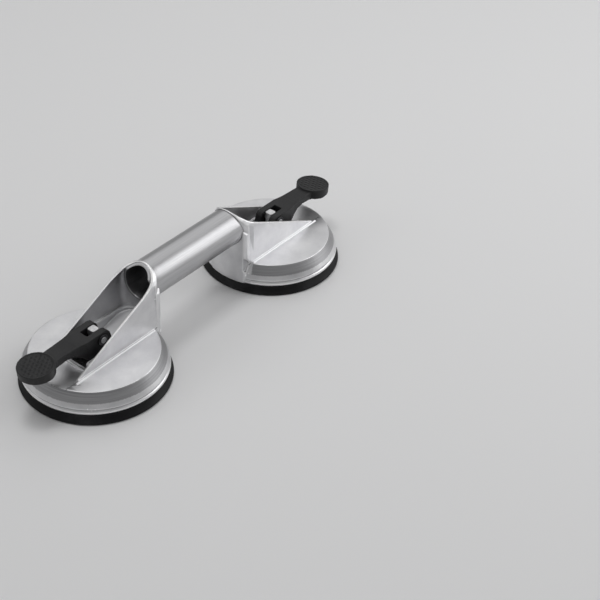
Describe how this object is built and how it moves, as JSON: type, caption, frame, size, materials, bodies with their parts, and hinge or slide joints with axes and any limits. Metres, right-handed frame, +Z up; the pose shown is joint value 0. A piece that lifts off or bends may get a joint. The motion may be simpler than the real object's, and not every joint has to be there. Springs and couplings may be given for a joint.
{
  "type": "vacuum suction cup lifter",
  "caption": "Hand lifter with paired round vacuum pads under cast aluminium heads, joined by a tube handle, each pad drawn up by a cam lever and stud.",
  "frame": {"origin": "on the resting plane, midway between the two pads", "axes": "+X along the handle, +Z up from the sealing lips, Y across"},
  "size_m": [0.35, 0.118, 0.0746],
  "materials": {
    "cast_aluminium": "satin die-cast aluminium with a fine tumbled grain",
    "tube_aluminium": "smooth satin drawn aluminium",
    "plated_steel": "zinc-plated sheet steel",
    "zinc_steel": "bright zinc-plated turned steel",
    "black_steel": "black-oxide steel",
    "black_rubber": "moulded black rubber, faintly clouded",
    "black_plastic": "moulded black plastic, fine satin texture",
    "bush_plastic": "natural acetal"
  },
  "bodies": {
    "root": {"handle_tube": "tube_aluminium", "left_head": "cast_aluminium", "left_guide_bush": "bush_plastic", "left_wear_plate": "plated_steel", "left_rubber_pad": "black_rubber", "right_head": "cast_aluminium", "right_guide_bush": "bush_plastic", "right_wear_plate": "plated_steel", "right_rubber_pad": "black_rubber"},
    "left_stud": {"left_pull_stud": "zinc_steel", "left_backing_plate": "plated_steel", "left_centre_screw": "black_steel", "left_pivot_pin": "zinc_steel", "left_pin_clips": "black_steel"},
    "left_lever": {"left_lever": "black_plastic"},
    "right_stud": {"right_pull_stud": "zinc_steel", "right_backing_plate": "plated_steel", "right_centre_screw": "black_steel", "right_pivot_pin": "zinc_steel", "right_pin_clips": "black_steel"},
    "right_lever": {"right_lever": "black_plastic"}
  },
  "joints": [
    {"name": "left_stud_drop", "type": "slide", "parent": "root", "child": "left_stud", "axis": [0, 0, -1], "range_m": [0, 0.0046], "deforming": ["left_rubber_pad"]},
    {"name": "left_lever_swing", "type": "hinge", "parent": "left_stud", "child": "left_lever", "pos_m": [-0.1035, 0, 0.0385], "axis": [0, 1, 0], "range_deg": [0, 95]},
    {"name": "right_stud_drop", "type": "slide", "parent": "root", "child": "right_stud", "axis": [0, 0, -1], "range_m": [0, 0.0046], "deforming": ["right_rubber_pad"]},
    {"name": "right_lever_swing", "type": "hinge", "parent": "right_stud", "child": "right_lever", "pos_m": [0.1035, 0, 0.0385], "axis": [0, -1, 0], "range_deg": [0, 95]}
  ],
  "couplings": [
    {"joint": "left_lever_swing", "follows": "left_stud_drop", "rad_per_m": 360.45},
    {"joint": "right_lever_swing", "follows": "right_stud_drop", "rad_per_m": 360.45}
  ]
}
